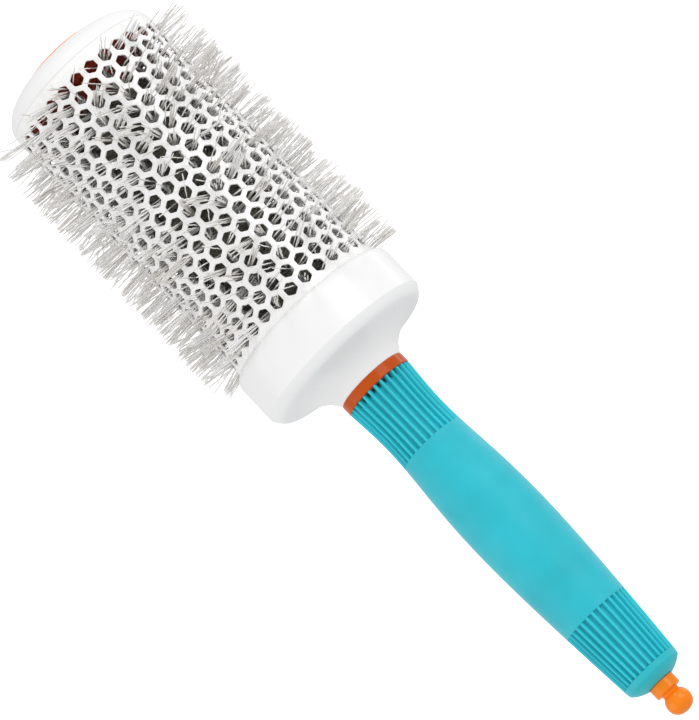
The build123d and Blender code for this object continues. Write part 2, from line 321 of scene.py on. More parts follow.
def bare_inside_shaded():
    """The barrel's uncoated inside: dull aluminium painted dark as the shade inside the barrel, mottled
    lighter in patches.
    """
    material = material_base("bare_inside_shaded", (0.1, 0.095, 0.085), 0.5, Metallic=0.55)
    feed(material, "Base Color", ramp(material, noise(material, 160, 5), [
        (0.3, (0.12, 0.118, 0.098)), (0.55, (0.22, 0.215, 0.18)), (0.75, (0.3, 0.29, 0.24)),
    ]))
    feed(material, "Roughness", spread(material, noise(material, 600, 4), 0.4, 0.65))
    bump(material, [(noise(material, 1800, 3), 0.004)])
    return material


def soft_touch():
    """Soft-touch rubber: matt, velvety at grazing angles, with a fine grain and handling marks."""
    teal = (0.019, 0.585, 0.69)
    material = material_base(
        "soft_touch_teal", teal, 0.55, Sheen_Weight=0.4, Sheen_Roughness=0.4,
        Sheen_Tint=(0.75, 0.95, 1, 1), Specular_IOR_Level=0.35,
    )
    nodes, links = material.node_tree.nodes, material.node_tree.links
    mottled = ramp(material, noise(material, 60, 5), [
        (0.3, scaled(teal, 0.92)), (0.5, teal), (0.72, scaled(teal, 1.07)),
    ])
    # build_grip writes a value per point: 0.5 on plain rubber, 1 on a rib, 0.12 in a groove and 0 in the
    # grooves' deep ends beside the orange band. The ramp below paints light and shade by it: painted shade
    # darkens the grooves, a near-black painted shadow fills their deep ends and a painted highlight
    # lightens the rib crests.
    rib_light_and_shade = nodes.new("ShaderNodeAttribute")
    rib_light_and_shade.attribute_name = "rib_light_and_shade"
    shade = ramp(material, rib_light_and_shade.outputs["Fac"], [
        (0.0, (0.02, 0.05, 0.05)), (0.12, (0.02, 0.74, 0.76)), (0.25, (0.08, 0.76, 0.78)),
        (0.5, (0.82, 0.84, 0.86)), (0.9, (1, 1, 1)),
    ])
    mix = nodes.new("ShaderNodeMix")
    mix.data_type, mix.blend_type = "RGBA", "MULTIPLY"
    mix.inputs["Factor"].default_value = 1.0
    links.new(mottled, mix.inputs["A"])
    links.new(shade, mix.inputs["B"])
    feed(material, "Base Color", mix.outputs["Result"])
    feed(material, "Roughness", spread(material, noise(material, 130, 6), 0.46, 0.64))
    bump(material, [(noise(material, 3200, 3), 0.010), (noise(material, 700, 3), 0.008)])
    return material


def bristle_nylon():
    """Crimped nylon: each outward filament has its own tone up to 1; the inward filaments get 0, a
    near-black painted shade.
    """
    material = material_base("bristle_nylon", (0.8, 0.78, 0.74), 0.36, Specular_IOR_Level=0.45)
    nodes = material.node_tree.nodes
    tone_and_shade = nodes.new("ShaderNodeAttribute")
    tone_and_shade.attribute_name = "tone_and_shade"
    # at 0 the ramp gives the inward filaments a near-black painted shade
    feed(material, "Base Color", ramp(material, tone_and_shade.outputs["Fac"], [
        (0.0, (0.14, 0.135, 0.11)), (0.12, (0.66, 0.63, 0.58)), (0.5, (0.88, 0.86, 0.83)),
        (1.0, (0.95, 0.945, 0.935)),
    ]))
    feed(material, "Roughness", spread(material, noise(material, 900, 3), 0.28, 0.45))
    bump(material, [(noise(material, 4200, 2), 0.003)])
    return material


def turned_metal(name, color, roughness, stain):
    """Plated or turned metal with fine rings about the axis and some tarnish."""
    material = material_base(name, color, roughness, Metallic=1.0)
    feed(material, "Base Color", ramp(material, noise(material, 240, 5), [
        (0.3, scaled(color, 1 - stain)), (0.6, color), (0.8, scaled(color, 1.08)),
    ]))
    gloss = noise(material, 700, 4)
    feed(material, "Roughness", spread(material, gloss, roughness * 0.7, roughness * 1.4))
    nodes, links = material.node_tree.nodes, material.node_tree.links
    place = nodes.new("ShaderNodeTexCoord")
    rings = nodes.new("ShaderNodeTexWave")
    rings.bands_direction = "Z"
    rings.inputs["Scale"].default_value = 900
    rings.inputs["Distortion"].default_value = 1.2
    links.new(place.outputs["Object"], rings.inputs["Vector"])
    bump(material, [(rings.outputs["Fac"], 0.004)])
    return material


def black_rubber():
    """Matt black rubber with a dusty bloom."""
    color = (0.02, 0.02, 0.021)
    material = material_base("black_rubber", color, 0.6)
    dusty = (0.04, 0.04, 0.042)
    feed(material, "Base Color", ramp(material, noise(material, 500, 4), [(0.3, color), (0.8, dusty)]))
    bump(material, [(noise(material, 2500, 3), 0.006)])
    return material


CERAMIC = ceramic_coating()
BARE_PAINTED_SHADE = bare_inside_shaded()
WHITE = moulded_plastic("white_gloss", (0.865, 0.865, 0.867), 0.34, 0.1, mottling=0.01)
ORANGE = moulded_plastic("orange_gloss", (0.96, 0.235, 0.001), 0.15, 0.0, Specular_IOR_Level=0.3)
# the band is the same orange plastic as the knob, painted darker as the shade under the flange
BAND_ORANGE_SHADED = moulded_plastic("orange_band_painted_shade", (0.53, 0.078, 0.003), 0.2, 0.0, Specular_IOR_Level=0.16)
# the front plug is the same orange plastic, painted darker as the shade inside the barrel
PLUG_ORANGE_SHADED = moulded_plastic("orange_plug_painted_shade", (0.40, 0.035, 0.006), 0.5, 0.0, mottling=0.1)
TEAL_SOFT = soft_touch()
TEAL_HARD = moulded_plastic("teal_hard", (0.018, 0.485, 0.565), 0.42, 0.0, Specular_IOR_Level=0.35)
# the core tube's dark olive is painted shade: it keeps the barrel's holes dark inside
CORE_PAINTED_SHADE = moulded_plastic("core_dark", (0.25, 0.25, 0.185), 0.6, 0.0, mottling=0.2)
NYLON = bristle_nylon()
NATURAL = moulded_plastic("natural_nylon", (0.72, 0.71, 0.67), 0.4, 0.0)
STEEL = turned_metal("zinc_steel", (0.62, 0.63, 0.64), 0.3, 0.2)
BRASS = turned_metal("turned_brass", (0.72, 0.52, 0.22), 0.28, 0.25)
RUBBER = black_rubber()

# the CAD pieces that are shown as they are, nearly all of them hidden inside
CAD_MATERIALS = {
    "front_plug": PLUG_ORANGE_SHADED, "front_screw": STEEL, "front_washer": STEEL, "tie_rod": STEEL,
    "rear_plate": WHITE, "handle_core": TEAL_HARD, "thread_insert": BRASS,
    "pick_guide_tube": NATURAL, "pick_o_ring": RUBBER, "pick_shaft": STEEL, "core_tube": CORE_PAINTED_SHADE,
}


def finish_cad(node, material):
    """A CAD piece that is shown as it is gets its material."""
    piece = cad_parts[node]
    piece.data.materials.clear()
    piece.data.materials.append(material)


for node, material in CAD_MATERIALS.items():
    finish_cad(node, material)


# ---------------------------------------------------------------- perforated barrel
# how far each loop that rounds a hole's outer edge is grown, and how deep it lies
HOLE_EDGE = ((0.16, 0.0), (0.045, 0.05), (0.0, 0.17))
# where the five points at a hole's corner go on its cell's edge, as shares of the way to the
# cell's next corner on their own side
CORNER_SHARES = (0.36, 0.17, 0, 0.17, 0.36)
# the even strip beyond the end rings' zigzag, and the rims' bevels outside and inside
END_MARGIN = 0.5
RIM_BEVEL = 0.15
INSIDE_BEVEL = 0.1
MERGE_DISTANCE = 0.004
# material slots; the faces from this loop on are the bare inside
CERAMIC_SLOT, BARE_SLOT = 0, 1
BARE_FROM_LEVEL = 4


def hole_outline():
    """A rounded hexagon's points and outward normals, and the matching points of its cell's edge."""
    pitch = 2 * math.pi * BARREL_R / HOLES_PER_RING
    side_top = (RING_PITCH**2 - (pitch / 2) ** 2) / (2 * RING_PITCH)
    apex = (pitch**2 / 4 + RING_PITCH**2) / (2 * RING_PITCH)
    cell = [(pitch / 2, side_top), (0, apex), (-pitch / 2, side_top),
            (-pitch / 2, -side_top), (0, -apex), (pitch / 2, -side_top)]
    cell = [np.array(c) for c in cell]
    core = (HOLE_INRADIUS - HOLE_CORNER_R) / math.cos(math.radians(30))
    inner, normals, edge = [], [], []
    for j in range(6):
        corner_angle = math.radians(30 + 60 * j)
        centre = core * np.array([math.cos(corner_angle), math.sin(corner_angle)])
        for step, share in enumerate(CORNER_SHARES):
            normal_angle = math.radians(60 * j + 15 * step)
            normal = np.array([math.cos(normal_angle), math.sin(normal_angle)])
            inner.append(centre + HOLE_CORNER_R * normal)
            normals.append(normal)
            toward = cell[j - 1] if step < 2 else cell[(j + 1) % 6]
            edge.append(cell[j] + share * (toward - cell[j]))
    return np.array(inner), np.array(normals), np.array(edge)


def on_barrel(flat, radius, centre_deg, centre_z):
    """Points (along the girth, along the axis) wrapped onto the barrel."""
    angle = math.radians(centre_deg) + flat[:, 0] / BARREL_R
    return np.stack([radius * np.cos(angle), radius * np.sin(angle), centre_z + flat[:, 1]], 1)


def hole_angle(ring, k):
    """Where hole k of a ring sits, in degrees: every other ring is turned by half a pitch."""
    return (k + 0.5 * (ring % 2)) * 360 / HOLES_PER_RING


def ring_height(ring):
    """How high the centres of a ring's holes are."""
    return FIRST_RING_Z + ring * RING_PITCH


def holed_cells(inner, normals, edge):
    """Each hole's cell: loops for its outside, rounded edge, wall and inside, and their faces."""
    loops = [
        (edge, BARREL_R),
        *[(inner + normals * grown, BARREL_R - depth) for grown, depth in HOLE_EDGE],
        (inner, BARREL_INSIDE_R), (edge, BARREL_INSIDE_R),
    ]
    here = np.arange(len(inner))
    after = (here + 1) % len(inner)
    verts, faces, slots = [], [], []
    for ring in range(HOLE_RINGS):
        for k in range(HOLES_PER_RING):
            base = len(verts) * len(inner)
            for flat, radius in loops:
                verts.append(on_barrel(flat, radius, hole_angle(ring, k), ring_height(ring)))
            for level in range(len(loops) - 1):
                a, b = base + level * len(inner), base + (level + 1) * len(inner)
                faces.append(np.stack([a + after, b + after, b + here, a + here], 1))
                slots += [CERAMIC_SLOT if level < BARE_FROM_LEVEL else BARE_SLOT] * len(inner)
    return np.concatenate(verts), faces, slots


def plain_end(edge, ring, sign, rim_z, base):
    """From the zigzag edge of an end ring's cells to the tube's rim, and back along the inside."""
    half_pitch = math.pi * BARREL_R / HOLES_PER_RING
    tiny = 1e-6
    zigzag = np.array([p for p in edge if p[1] * sign > 0])
    zigzag = zigzag[np.argsort(zigzag[:, 0])]
    zigzag = zigzag[np.abs(zigzag[:, 0]) <= half_pitch + tiny]
    zigzag = zigzag[zigzag[:, 1] * sign > abs(edge[2][1]) - tiny][:-1]
    turns = np.radians([hole_angle(ring, k) for k in range(HOLES_PER_RING)])
    around = (turns[:, None] + zigzag[None, :, 0] / BARREL_R).ravel()
    heights = np.tile(ring_height(ring) + zigzag[:, 1], HOLES_PER_RING)
    near = (heights.min() if sign < 0 else heights.max()) + sign * END_MARGIN
    loops = [
        (BARREL_R, heights), (BARREL_R, near),
        (BARREL_R, rim_z - sign * RIM_BEVEL), (BARREL_R - RIM_BEVEL, rim_z),
        (BARREL_INSIDE_R + INSIDE_BEVEL, rim_z), (BARREL_INSIDE_R, rim_z - sign * INSIDE_BEVEL),
        (BARREL_INSIDE_R, near), (BARREL_INSIDE_R, heights),
    ]
    count = len(around)
    here = np.arange(count)
    after = (here + 1) % count
    verts, faces, slots = [], [], []
    for radius, z in loops:
        x, y = radius * np.cos(around), radius * np.sin(around)
        verts.append(np.stack([x, y, np.broadcast_to(z, count)], 1))
    for level in range(len(loops) - 1):
        a, b = base + level * count, base + (level + 1) * count
        quads = np.stack([a + after, b + after, b + here, a + here], 1)
        faces.append(quads if sign < 0 else quads[:, ::-1])
        slots += [CERAMIC_SLOT if level < BARE_FROM_LEVEL else BARE_SLOT] * count
    return np.concatenate(verts), faces, slots


def merge_skin(piece):
    """Joins vertices that share a place, so the surface is one closed skin."""
    work = bmesh.new()
    work.from_mesh(piece.data)
    bmesh.ops.remove_doubles(work, verts=work.verts, dist=MERGE_DISTANCE * MM)
    bmesh.ops.recalc_face_normals(work, faces=work.faces)
    work.to_mesh(piece.data)
    work.free()


def build_barrel():
    """The holed stretch and both plain ends, as one skin that is coated outside and bare inside."""
    inner, normals, edge = hole_outline()
    verts, faces, slots = holed_cells(inner, normals, edge)
    for ring, sign, rim_z in ((0, -1, BARREL_Z0), (HOLE_RINGS - 1, 1, BARREL_Z1)):
        more_verts, more_faces, more_slots = plain_end(edge, ring, sign, rim_z, len(verts))
        verts = np.concatenate([verts, more_verts])
        faces += more_faces
        slots += more_slots
    barrel = add_mesh("perforated_barrel", verts, faces, [CERAMIC, BARE_PAINTED_SHADE], "brush", ["barrel_tube"],
                      "ceramic_coat", slots)
    merge_skin(barrel)
    weight_normals(barrel, sharp_deg=60)


build_barrel()


# ---------------------------------------------------------------- wires and bristles
# each spindle is built on the +X side, facing its three holes of every ring, and then turned
WIRE_LAY = 7.5
WIRE_POINTS = 240
WIRE_SIDES = 8
SERVED_HOLES = HOLES_PER_RING // SPINDLES
DEGREES_PER_HOLE = 360 / HOLES_PER_RING
FILAMENT_R = 0.21
FILAMENT_SIDES = 4
# outward filaments: how many leave through a hole, and how much of the hole they fill
OUTWARD_POINTS = 22
BUNCH_SIZES = (1, 3, 5, 7, 9)
BUNCH_SHARES = (0.36, 0.12, 0.18, 0.20, 0.14)
LEAN_SPREAD = 1.0
HOLE_SHARE_USED = 0.74
# their roots on the wire: how far out, and how much they differ aside and along it
ROOT_OUT = 0.6
ROOT_ASIDE_SPREAD = 0.35
ROOT_ALONG_SPREAD = 0.45
LOWEST_ROOT_Z = FIRST_RING_Z - 0.6
# their tips: how far they fall short of the widest, and how thin they end
TIP_GAP = 0.1
TIP_SPREAD = 0.55
SHORTEST_BY = 2.2
TIP_CLEARANCE = 0.02
TIP_TAPER = 0.55
# inward filaments: radians to either side of the brush's axis, and where they stay
INWARD_POINTS = 12
INWARD_PER_SPINDLE = 260
INWARD_FAN = 2.3
INWARD_RISE_SPREAD = 0.12
INWARD_LENGTH = (6.0, 8.5)
INWARD_TOP_Z = BARREL_Z1 - 5.5
INWARD_REACH = (CORE_R + 0.3, BARREL_R - 1.2)
# crimp: wave length and height; bend: how far a filament's end strays from straight
CRIMP_LENGTH = (3.6, 5.0)
CRIMP_HEIGHT = (0.03, 0.10)
BEND_SPREAD = 0.28
# tones that bristle_nylon's ramp turns into colours; the inward filaments' 0 is a near-black painted shade
BUNCH_TINT = (0.35, 0.95)
TINT_SPREAD = 0.15
PALEST, DARKEST_OUTWARD, INWARD_PAINTED_SHADE = 1.0, 0.25, 0.0


def tubes(paths, radii, sides):
    """Many thin capped tubes at once. paths: (tube, point, 3); radii: (tube, point)."""
    count, points, _ = paths.shape
    along = np.gradient(paths, axis=1)
    along /= np.linalg.norm(along, axis=2, keepdims=True)
    helper = np.where(np.abs(along[..., 2:3]) < 0.8, [0.0, 0.0, 1.0], [1.0, 0.0, 0.0])
    side = np.cross(along, helper)
    side /= np.linalg.norm(side, axis=2, keepdims=True)
    other = np.cross(along, side)
    turn = np.linspace(0, 2 * math.pi, sides, endpoint=False)[None, None, :, None]
    rim = side[:, :, None] * np.cos(turn) + other[:, :, None] * np.sin(turn)
    verts = (paths[:, :, None] + rim * radii[:, :, None, None]).reshape(-1, 3)
    here = np.arange(count * points * sides).reshape(count, points, sides)
    after = np.roll(here, -1, axis=2)
    quads = np.stack([here[:, :-1], after[:, :-1], after[:, 1:], here[:, 1:]], -1).reshape(-1, 4)
    return verts, [quads, here[:, 0, ::-1], here[:, -1]]


def turned_about_z(points, degrees):
    """Points turned about the brush's axis."""
    c, s = math.cos(math.radians(degrees)), math.sin(math.radians(degrees))
    return points @ np.array([[c, s, 0], [-s, c, 0], [0, 0, 1]])


def twisted_wire(number):
    """A spindle's core: two steel wires twisted round each other."""
    z = np.linspace(wire_low[2], wire_high[2], WIRE_POINTS)
    phase = z / WIRE_LAY * 2 * math.pi
    strands = []
    for start in (0, math.pi):
        x = SPINDLE_R + WIRE_R / 2 * np.cos(phase + start)
        y = WIRE_R / 2 * np.sin(phase + start)
        strands.append(np.stack([x, y, z], 1))
    verts, blocks = tubes(np.array(strands), np.full((2, WIRE_POINTS), WIRE_R / 2), WIRE_SIDES)
    verts = turned_about_z(verts, (number - 1) * 360 / SPINDLES)
    add_mesh(f"twisted_wire_{number:02d}", verts, blocks, [STEEL], "brush",
             [f"spindle_wire_{number:02d}"], "zinc_steel")


def filament_paths(starts, ways, lengths, points):
    """Crimped filaments: nearly straight, with a small wave and a slight bend across them."""
    share = np.linspace(0, 1, points)
    run = share[None] * lengths[:, None]
    straight = starts[:, None] + ways[:, None] * run[..., None]
    across = np.cross(ways, np.array([0.0, 0.0, 1.0]))
    across /= np.linalg.norm(across, axis=1, keepdims=True)
    up = np.cross(across, ways)
    count = len(starts)
    tilt = rng.uniform(0, math.pi, count)
    plane = across * np.cos(tilt)[:, None] + up * np.sin(tilt)[:, None]
    wave = rng.uniform(*CRIMP_LENGTH, count)
    phase = rng.uniform(0, 2 * math.pi, count)
    height = rng.uniform(*CRIMP_HEIGHT, count)
    swing = height[:, None] * np.sin(run / wave[:, None] * 2 * math.pi + phase[:, None])
    bend = rng.normal(0, BEND_SPREAD, count)[:, None] * share[None] ** 2
    return straight + plane[:, None] * (swing + bend)[..., None]


def filament_through(hole_deg, hole_z, lean):
    """One filament's start on the wire, its way through a spot in the hole, and its length."""
    hole_r = BARREL_R - BARREL_WALL / 2
    spot = HOLE_INRADIUS * HOLE_SHARE_USED * math.sqrt(rng.uniform())
    spot_angle = rng.uniform(0, 2 * math.pi)
    aside, up = spot * math.cos(spot_angle), spot * math.sin(spot_angle)
    girth = math.radians(hole_deg) + aside / hole_r
    through = np.array([hole_r * math.cos(girth), hole_r * math.sin(girth), hole_z + up])
    start = np.array([
        SPINDLE_R + ROOT_OUT,
        0.5 * (aside + lean[0]) + rng.normal(0, ROOT_ASIDE_SPREAD),
        through[2] - lean[1] - rng.normal(0, ROOT_ALONG_SPREAD),
    ])
    start[2] = max(start[2], LOWEST_ROOT_Z)
    way = through - start
    way /= np.linalg.norm(way)
    tip = TIP_R - TIP_GAP - min(abs(rng.normal(0, TIP_SPREAD)), SHORTEST_BY)
    ahead = start[0] * way[0] + start[1] * way[1]
    flat = way[0] ** 2 + way[1] ** 2
    gap = tip**2 - start[0] ** 2 - start[1] ** 2
    return start, way, (-ahead + math.sqrt(ahead**2 + flat * gap)) / flat


def outward_filaments():
    """The bunches that one spindle sends out through its holes, kept inside the tips' radius."""
    starts, ways, lengths, tones_and_shades = [], [], [], []
    for ring in range(HOLE_RINGS):
        for k in range(SERVED_HOLES):
            lean = rng.normal(0, LEAN_SPREAD), rng.normal(0, LEAN_SPREAD)
            bunch_tint = rng.uniform(*BUNCH_TINT)
            hole_deg = (k - 1 + 0.5 * (ring % 2)) * DEGREES_PER_HOLE
            for _ in range(rng.choice(BUNCH_SIZES, p=BUNCH_SHARES)):
                start, way, length = filament_through(hole_deg, ring_height(ring), lean)
                starts.append(start)
                ways.append(way)
                lengths.append(length)
                tone_and_shade = bunch_tint + rng.normal(0, TINT_SPREAD)
                tones_and_shades.append(np.clip(tone_and_shade, DARKEST_OUTWARD, PALEST))
    paths = filament_paths(np.array(starts), np.array(ways), np.array(lengths), OUTWARD_POINTS)
    reach = np.hypot(paths[..., 0], paths[..., 1])
    limit = TIP_R - FILAMENT_R - TIP_CLEARANCE
    paths[..., :2] *= np.minimum(1.0, limit / np.maximum(reach, 1e-6))[..., None]
    radii = np.full(paths.shape[:2], FILAMENT_R)
    radii[:, -1] *= TIP_TAPER
    return paths, radii, np.array(tones_and_shades)


def inward_filaments():
    """Shorter filaments all round the wire, between the core tube and the barrel."""
    count = INWARD_PER_SPINDLE
    angle = math.pi + rng.uniform(-INWARD_FAN, INWARD_FAN, count)
    z = rng.uniform(FIRST_RING_Z, INWARD_TOP_Z, count)
    starts = np.stack([np.full(count, SPINDLE_R), np.zeros(count), z], 1)
    ways = np.stack([np.cos(angle), np.sin(angle), rng.normal(0, INWARD_RISE_SPREAD, count)], 1)
    ways /= np.linalg.norm(ways, axis=1, keepdims=True)
    paths = filament_paths(starts, ways, rng.uniform(*INWARD_LENGTH, count), INWARD_POINTS)
    reach = np.hypot(paths[..., 0], paths[..., 1])
    paths[..., :2] *= (np.clip(reach, *INWARD_REACH) / reach)[..., None]
    # every inward filament gets the near-black painted shade
    return paths, np.full(paths.shape[:2], FILAMENT_R), np.full(count, INWARD_PAINTED_SHADE)


def bristle_row(number):
    """All of one spindle's filaments, as one piece whose points carry their filament's tone, with a painted
    shade on the inward filaments.
    """
    verts, blocks, shades = [], [], []
    offset = 0
    for paths, radii, tones_and_shades in (outward_filaments(), inward_filaments()):
        part_verts, part_blocks = tubes(paths, radii, FILAMENT_SIDES)
        verts.append(part_verts)
        blocks += [block + offset for block in part_blocks]
        shades.append(np.repeat(tones_and_shades, paths.shape[1] * FILAMENT_SIDES))
        offset += len(part_verts)
    verts = turned_about_z(np.concatenate(verts), (number - 1) * 360 / SPINDLES)
    piece = add_mesh(f"bristles_{number:02d}", verts, blocks, [NYLON], "brush",
                     [f"bristle_row_{number:02d}"], "bristle_nylon")
    attribute = piece.data.attributes.new("tone_and_shade", "FLOAT", "POINT")
    attribute.data.foreach_set("value", np.concatenate(shades).astype(np.float32))


for number in range(1, SPINDLES + 1):
    bristle_row(number)
    twisted_wire(number)


# ---------------------------------------------------------------- turned shells
def front_cap():
    """A dome of elliptic section, open in the middle for the end disc."""
    wall = 1.6
    opening = 16.35
    bevel, rim_bevel = 0.2, 0.12
    flat_r = disc_high[0] - 0.3
    rim_r = cap_high[0]
    z0, z1 = cap_low[2], cap_high[2]
    outer = arc((flat_r, z1), (rim_r - flat_r, z1 - z0), -90, 0, 28)
    inner = arc((flat_r, z1), (rim_r - flat_r - wall, z1 - z0 - wall), 0, -90, 16)
    outline = [(opening + bevel, z0), *outer[2:-1], (rim_r, z1 - rim_bevel)]
    outline += [(rim_r - rim_bevel, z1), *inner]
    outline = [p for p in outline if p[0] >= opening + bevel or p[1] > z0 + wall - 0.01]
    outline += [(opening, z0 + wall), (opening, z0 + bevel)]
    lathe("front_cap_shell", outline, WHITE, "brush", replaces=["front_cap"], slot="white_plastic")


def end_disc():
    """The disc that the brush stands on, with the snap ring behind it."""
    r, z0, z1 = disc_high[0], disc_low[2], 1.8
    snap_out, snap_in = 11.6, 10.4
    snap_z = disc_high[2]
    outline = rounded([
        (0, z0), (r, z0), (r, z1), (snap_out, z1),
        (snap_out, snap_z), (snap_in, snap_z), (snap_in, z1), (0, z1),
    ], [0, 0.25, 0.2, 0.3, 0.25, 0.25, 0.3, 0])
    lathe("end_disc_face", outline, ORANGE, "brush", replaces=["end_disc"], slot="orange_plastic")


FLANGE_SHARP_DEG = 13


def rear_flange():
    """A lipped drum, a rounded shoulder and a trumpet-shaped sweep up to the neck; hollow inside."""
    r, z0, neck_z = flange_high[0], flange_low[2], flange_high[2]
    bore = BARREL_R + 0.05
    lip_gap, lip_length = 0.3, 3.2
    drum_inside_r = r - 2.5
    rim_z, neck_r = z0 + 15.4, 11.85
    spigot_r, spigot_z, wall = 7.9, z0 + 16.2, 2.0
    ledge_r, ledge_z = 25.0, z0 + 5.3
    lip = arc((BARREL_R + lip_gap, z0 + lip_length), (r - BARREL_R - lip_gap, lip_length), -90, 0, 12)
    drum = [(r, z) for z in np.linspace(lip[-1][1], rim_z, 6)[1:]]
    shoulder = bezier((r, rim_z), (r - 0.8, rim_z + 1.3), (28.5, rim_z + 3.0), (26.5, rim_z + 3.4), 20)
    sweep = curve_through([
        shoulder[-1], (23.4, rim_z + 4.1), (20.0, rim_z + 5.1), (17.0, rim_z + 6.5),
        (15.0, rim_z + 7.9), (13.5, rim_z + 9.4), (12.6, rim_z + 10.7), (neck_r, neck_z - 0.1),
    ], 40)
    inside = [
        (neck_r - 0.1, neck_z), (spigot_r, neck_z), (spigot_r, spigot_z),
        (spigot_r + wall, spigot_z), (spigot_r + wall, z0 + 20.9), (25.8, z0 + 16.1),
        (drum_inside_r, z0 + 14.0), (drum_inside_r, ledge_z), (ledge_r, ledge_z),
        (ledge_r, BARREL_Z1), (bore, BARREL_Z1), (bore, z0 + 0.1), (bore + 0.1, z0),
    ]
    outline = [*lip, *drum, *shoulder[1:], *sweep[1:], *inside]
    lathe("flange_shell", outline, WHITE, "brush", 220, FLANGE_SHARP_DEG, replaces=["rear_flange"],
          slot="white_plastic")


def accent_band():
    """The flat orange ring between the flange and the grip."""
    bore, r, z0, z1 = 7.9, band_high[0], band_low[2], band_high[2]
    outline = rounded([(bore, z0), (r, z0), (r, z1), (bore, z1)], [0.1, 0.35, 0.35, 0.1])
    lathe("accent_ring", outline, BAND_ORANGE_SHADED, "brush", replaces=["accent_band"],
          slot="orange_plastic")


def handle_end():
    """The handle's domed end, with the pick's bore and the o-ring's groove in it."""
    z1 = end_high[2]
    corner_r, corner_z, tip_r = 9.73, grip_high[2] + 1.9, 4.9
    bore, spigot_r = 1.95, 6.4
    groove_r, groove_z, groove_half = 3.25, grip_high[2] - 1.9, 0.75
    dome = bezier((corner_r, corner_z), (9.3, corner_z + 0.9), (7.0, z1 - 0.55), (tip_r, z1), 18)
    outline = [
        (end_high[0], grip_high[2]), (corner_r + 0.02, corner_z - 0.3), *dome,
        (bore + 0.3, z1), (bore, z1 - 0.3), (bore, groove_z + groove_half),
        (groove_r, groove_z + groove_half), (groove_r, groove_z - groove_half),
        (bore, groove_z - groove_half), (bore, end_low[2]),
        (spigot_r - 0.3, end_low[2]), (spigot_r, end_low[2] + 0.3), (spigot_r, grip_high[2]),
    ]
    lathe("handle_end_dome", outline, TEAL_HARD, "brush", replaces=["handle_end_cap"], slot="teal_hard")


def pick_knob():
    """Collar, neck and slightly squared ball, hollow in the middle for the pick's shaft."""
    z0, z2 = knob_low[2], knob_high[2]
    collar_r, collar_z, edge = knob_high[0], z0 + 3.75, 0.55
    neck_r, ball_r, ball_z, tang_r, tang_z = 2.86, 4.27, z0 + 7.95, 1.4, z0 + 6.25
    neck_top = z0 + 4.8
    ball = [(ball_r * math.cos(a) ** 0.9, ball_z + (z2 - ball_z) * math.sin(a) ** 0.95)
            for a in np.linspace(0, math.pi / 2 - 0.001, 22)]
    below = bezier((neck_r, neck_top), (3.6, neck_top + 0.45), (ball_r, ball_z - 1.4), (ball_r, ball_z), 12)
    outline = [
        (tang_r, z0), *arc((collar_r - 0.3, z0 + 0.3), 0.3, -90, 0, 4),
        *arc((collar_r - edge, collar_z - edge), edge, 0, 90, 6),
        (neck_r + 0.2, collar_z), (neck_r, collar_z + 0.25),
        *below, *ball[1:], (0, z2), (0, tang_z), (tang_r, tang_z),
    ]
    lathe("pick_knob_ball", outline, ORANGE, "pick", 96, replaces=["pick_knob"], slot="orange_plastic")


# ---------------------------------------------------------------- grip with its two ribbed zones
# the grip's radius on its ribs, and how far from the orange band
GRIP_OUTLINE = np.array([
    (11.9, 0), (11.03, 15.2), (12.29, 36.3), (13.06, 57.3), (12.44, 78.2), (9.97, 116.5),
])
BAND_ZONE = (grip_low[2], grip_low[2] + 23.0)
END_ZONE = (grip_low[2] + 93.8, grip_high[2])
COLUMNS_PER_RIB = 20
GROOVE_DEPTH = 1.05
CROWN_HEIGHT = 0.12
GRIP_WALL = 1.8
FIRST_EDGE = 0.25


def ramp_up(value, start, end):
    """A smooth step from 0 to 1."""
    t = np.clip((value - start) / (end - start), 0, 1)
    return t * t * (3 - 2 * t)


def grip_stations():
    """Heights of the grip's rows of vertices, close together where the ribs begin and end."""
    ends = []
    for z in (*BAND_ZONE, *END_ZONE):
        ends += list(z + np.array([-0.5, -0.22, -0.08, 0.0, 0.08, 0.22, 0.5]))
    first_edge = grip_low[2] + np.array([0.15, 0.9, 1.3, 1.8])
    stations = np.concatenate([np.linspace(grip_low[2], grip_high[2], 56), ends, first_edge])
    stations = np.unique(np.round(stations, 3))
    return stations[(stations >= grip_low[2]) & (stations <= grip_high[2])]


def grip_faces(rows, columns):
    """Outside, inside and both end rings of a tube whose two skins have rows times columns points."""
    here = np.arange(2 * rows * columns).reshape(2, rows, columns)
    after = np.roll(here, -1, axis=2)
    outer = np.stack([here[0, :-1], after[0, :-1], after[0, 1:], here[0, 1:]], -1).reshape(-1, 4)
    inner = np.stack([here[1, :-1], here[1, 1:], after[1, 1:], after[1, :-1]], -1).reshape(-1, 4)
    front = np.stack([here[0, 0], here[1, 0], after[1, 0], after[0, 0]], -1)
    rear = np.stack([here[0, -1], after[0, -1], after[1, -1], here[1, -1]], -1)
    return [outer, inner, front, rear]


